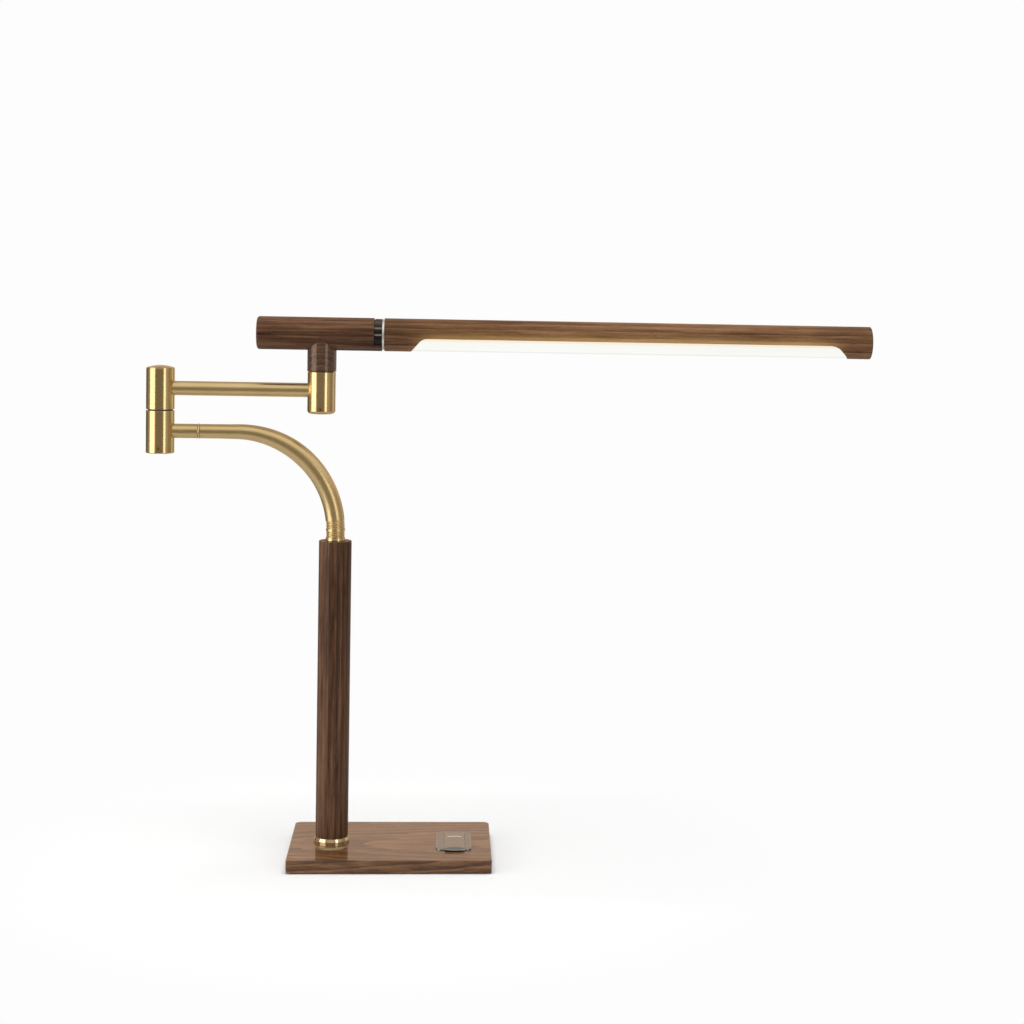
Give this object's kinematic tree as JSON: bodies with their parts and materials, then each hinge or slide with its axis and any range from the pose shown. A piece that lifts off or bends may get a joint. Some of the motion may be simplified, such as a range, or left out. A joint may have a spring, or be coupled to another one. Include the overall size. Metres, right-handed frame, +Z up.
{
  "type": "table lamp",
  "caption": "Walnut table lamp: weighted base with a push button, round post, curved brass neck, brass swing arm and a long round swivelling light bar lit from below.",
  "frame": {"origin": "centre of the non-slip pad's underside, on the surface that the lamp stands on", "axes": "+X to the right along the light bar at rest, +Y to the back of the base, +Z up"},
  "size_m": [0.6663, 0.13, 0.4978],
  "materials": {
    "walnut": "satin",
    "brass": "satin",
    "polished_brass": "polished",
    "black_gloss": "gloss",
    "satin_nickel": "satin",
    "button_metal": "satin",
    "steel": "satin",
    "painted_steel": "matte",
    "aluminium": "satin",
    "circuit_board": "satin",
    "components": "satin",
    "black_plastic": "matte",
    "rubber": "matte",
    "friction_disc": "matte",
    "opal": "satin",
    "diode": "satin",
    "window": "gloss",
    "lead_jacket": "matte"
  },
  "bodies": {
    "base": {"base_plate": "walnut", "base_cover": "painted_steel", "base_pad": "rubber", "cover_screws": "steel", "ballast": "steel", "cord_gland": "rubber", "clamp_washer": "steel", "clamp_nut": "steel", "tie_rod": "steel", "post_collar": "brass", "post": "walnut", "post_ferrule": "brass", "neck_coupling": "steel", "curved_neck": "brass", "seam_sleeve": "brass", "stub_tube": "brass", "lower_elbow": "brass", "lower_elbow_plug": "brass", "lower_elbow_grub": "steel", "elbow_spindle": "steel", "elbow_nuts": "steel", "base_lead": "lead_jacket", "switch_bezel": "satin_nickel", "switch_housing": "black_plastic", "switch_board": "circuit_board", "button_springs": "steel", "driver_board": "circuit_board", "driver_parts": "components", "board_screws": "steel"},
    "switch_button": {"button_cap": "button_metal", "button_window": "window"},
    "upper_arm": {"elbow_washer": "friction_disc", "elbow_spring_washer": "steel", "upper_elbow": "brass", "elbow_cap": "brass", "arm_tube": "brass", "wrist": "brass", "wrist_plug": "brass", "wrist_grub": "steel", "arm_lead": "lead_jacket"},
    "tee": {"wrist_washer": "friction_disc", "wrist_spring_washer": "steel", "lock_nuts": "steel", "wrist_spindle": "steel", "stem": "walnut", "stem_insert": "brass", "tee_bar": "walnut", "bar_insert": "brass", "head_spindle": "steel", "head_spring_washer": "steel", "tee_lead": "lead_jacket", "pivot_ring": "black_gloss"},
    "light_bar": {"pivot_washer": "polished_brass", "head_housing": "walnut", "heat_sink": "aluminium", "led_board": "circuit_board", "leds": "diode", "sink_screws": "steel", "diffuser": "opal", "head_lead": "lead_jacket"}
  },
  "joints": [
    {"name": "button_press", "type": "slide", "parent": "base", "child": "switch_button", "axis": [0, 0, -1], "range_m": [0, 0.001], "stiffness_N_per_m": 400, "springref_m": -0.002, "deforming": ["button_springs"]},
    {"name": "elbow_swivel", "type": "hinge", "parent": "base", "child": "upper_arm", "pos_m": [-0.2148, 0, 0.4116], "axis": [0, 0, 1], "range_deg": [-170, 170]},
    {"name": "wrist_swivel", "type": "hinge", "parent": "upper_arm", "child": "tee", "pos_m": [-0.069, 0, 0.448], "axis": [0, 0, 1], "range_deg": [-170, 170]},
    {"name": "light_bar_turn", "type": "hinge", "parent": "tee", "child": "light_bar", "pos_m": [-0.0143, 0, 0.4827], "axis": [1, 0, 0], "range_deg": [-120, 120]}
  ]
}
